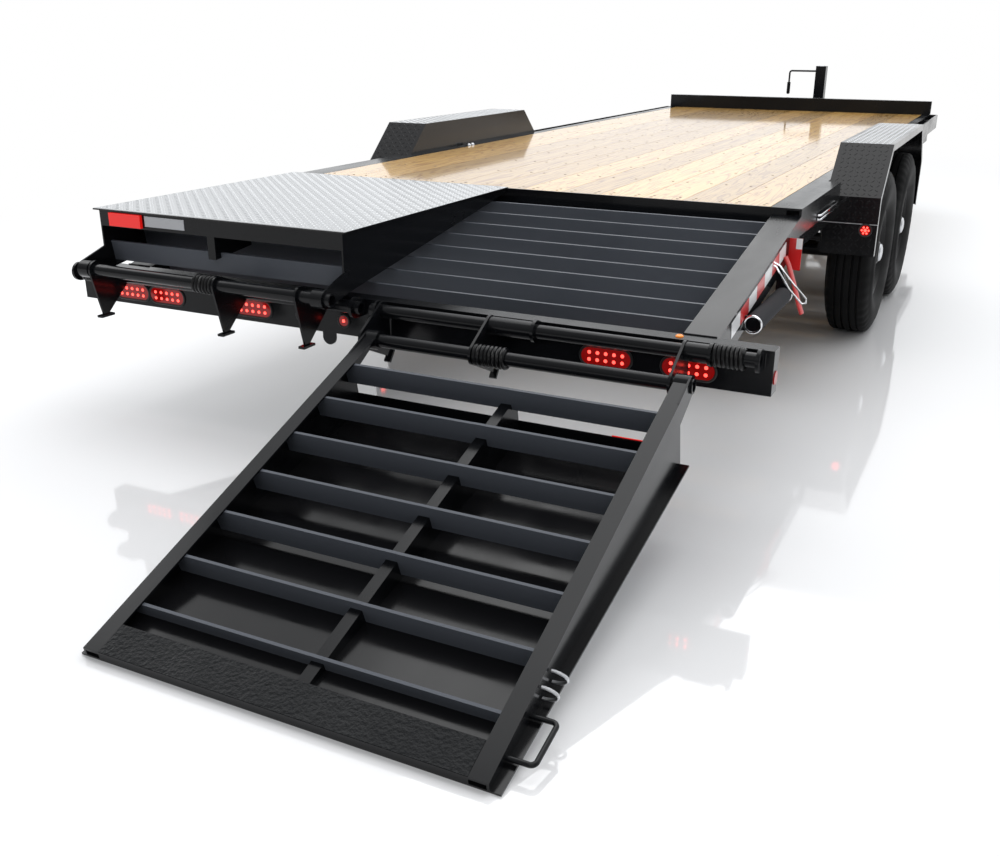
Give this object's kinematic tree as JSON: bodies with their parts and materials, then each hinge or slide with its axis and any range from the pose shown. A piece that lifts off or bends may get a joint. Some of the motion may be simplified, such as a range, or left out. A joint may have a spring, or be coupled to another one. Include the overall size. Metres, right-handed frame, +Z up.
{
  "type": "car transport trailer",
  "caption": "Tandem-axle flatbed car trailer with a wooden deck, sloped rear, and flip-over wedge ramps on double-hinge links, one folded and one on the ground.",
  "frame": {"origin": "on the ground, under the middle of the whole trailer's box", "axes": "+Y forward to the coupler, +Z up, +X to the right seen from behind"},
  "size_m": [2.596, 9.501, 1.075],
  "materials": {
    "black_paint": "glossy black powder coat",
    "pine": "clear-coated pine",
    "red_lens": "red lens",
    "tread_plate": "black checkered plate",
    "spring_steel": "black spring steel",
    "tyre": "matt rubber",
    "rim": "satin black",
    "galvanised": "zinc plated"
  },
  "bodies": {
    "trailer": {"cross_members": "black_paint", "deck_planks": "pine", "front_stop_rail": "black_paint", "dovetail_cleats": "black_paint", "dovetail_stringers": "black_paint", "rear_beam": "black_paint", "tail_lamps": "red_lens", "strap_bar": "black_paint", "coupler": "black_paint", "jack_tube": "black_paint", "jack_crank": "black_paint", "jack_leg": "galvanised", "equalisers": "black_paint", "spring_hangers": "black_paint", "leaf_springs": "spring_steel", "axle_rear": "black_paint", "axle_front": "black_paint", "frame_rail_left": "black_paint", "rub_rail_left": "black_paint", "stake_pockets_left": "black_paint", "dovetail_side_left": "black_paint", "ramp_carrier_left": "black_paint", "tongue_left": "black_paint", "fender_left": "tread_plate", "frame_rail_right": "black_paint", "rub_rail_right": "black_paint", "stake_pockets_right": "black_paint", "dovetail_side_right": "black_paint", "ramp_carrier_right": "black_paint", "tongue_right": "black_paint", "fender_right": "tread_plate"},
    "wheel_rear_left": {"tyre_rear_left": "tyre", "wheel_rear_left": "rim"},
    "wheel_front_left": {"tyre_front_left": "tyre", "wheel_front_left": "rim"},
    "wheel_rear_right": {"tyre_rear_right": "tyre", "wheel_rear_right": "rim"},
    "wheel_front_right": {"tyre_front_right": "tyre", "wheel_front_right": "rim"},
    "link_left": {"link_left": "black_paint"},
    "ramp_left": {"ramp_sides_left": "black_paint", "ramp_spine_left": "black_paint", "ramp_cleats_left": "black_paint", "ramp_tread_left": "tread_plate", "ramp_marker_left": "red_lens", "ramp_handle_left": "black_paint"},
    "link_right": {"link_right": "black_paint"},
    "ramp_right": {"ramp_sides_right": "black_paint", "ramp_spine_right": "black_paint", "ramp_cleats_right": "black_paint", "ramp_tread_right": "tread_plate", "ramp_marker_right": "red_lens", "ramp_handle_right": "black_paint"}
  },
  "joints": [
    {"name": "wheel_rear_left_spin", "type": "hinge", "parent": "trailer", "child": "wheel_rear_left", "pos_m": [-1.184, -0.9719, 0.378], "axis": [1, 0, 0], "continuous": true},
    {"name": "wheel_front_left_spin", "type": "hinge", "parent": "trailer", "child": "wheel_front_left", "pos_m": [-1.184, -0.1219, 0.378], "axis": [1, 0, 0], "continuous": true},
    {"name": "wheel_rear_right_spin", "type": "hinge", "parent": "trailer", "child": "wheel_rear_right", "pos_m": [1.184, -0.9719, 0.378], "axis": [1, 0, 0], "continuous": true},
    {"name": "wheel_front_right_spin", "type": "hinge", "parent": "trailer", "child": "wheel_front_right", "pos_m": [1.184, -0.1219, 0.378], "axis": [1, 0, 0], "continuous": true},
    {"name": "link_left_turn", "type": "hinge", "parent": "trailer", "child": "link_left", "pos_m": [0, -3.4269, 0.511], "axis": [1, 0, 0], "range_deg": [0, 52]},
    {"name": "ramp_left_flip", "type": "hinge", "parent": "link_left", "child": "ramp_left", "pos_m": [0, -3.5428, 0.55783], "axis": [1, 0, 0], "range_deg": [0, 139.52]},
    {"name": "link_right_turn", "type": "hinge", "parent": "trailer", "child": "link_right", "pos_m": [0, -3.4269, 0.511], "axis": [1, 0, 0], "range_deg": [-52, 0]},
    {"name": "ramp_right_flip", "type": "hinge", "parent": "link_right", "child": "ramp_right", "pos_m": [0, -3.53515, 0.4485], "axis": [1, 0, 0], "range_deg": [-139.52, 0]}
  ]
}
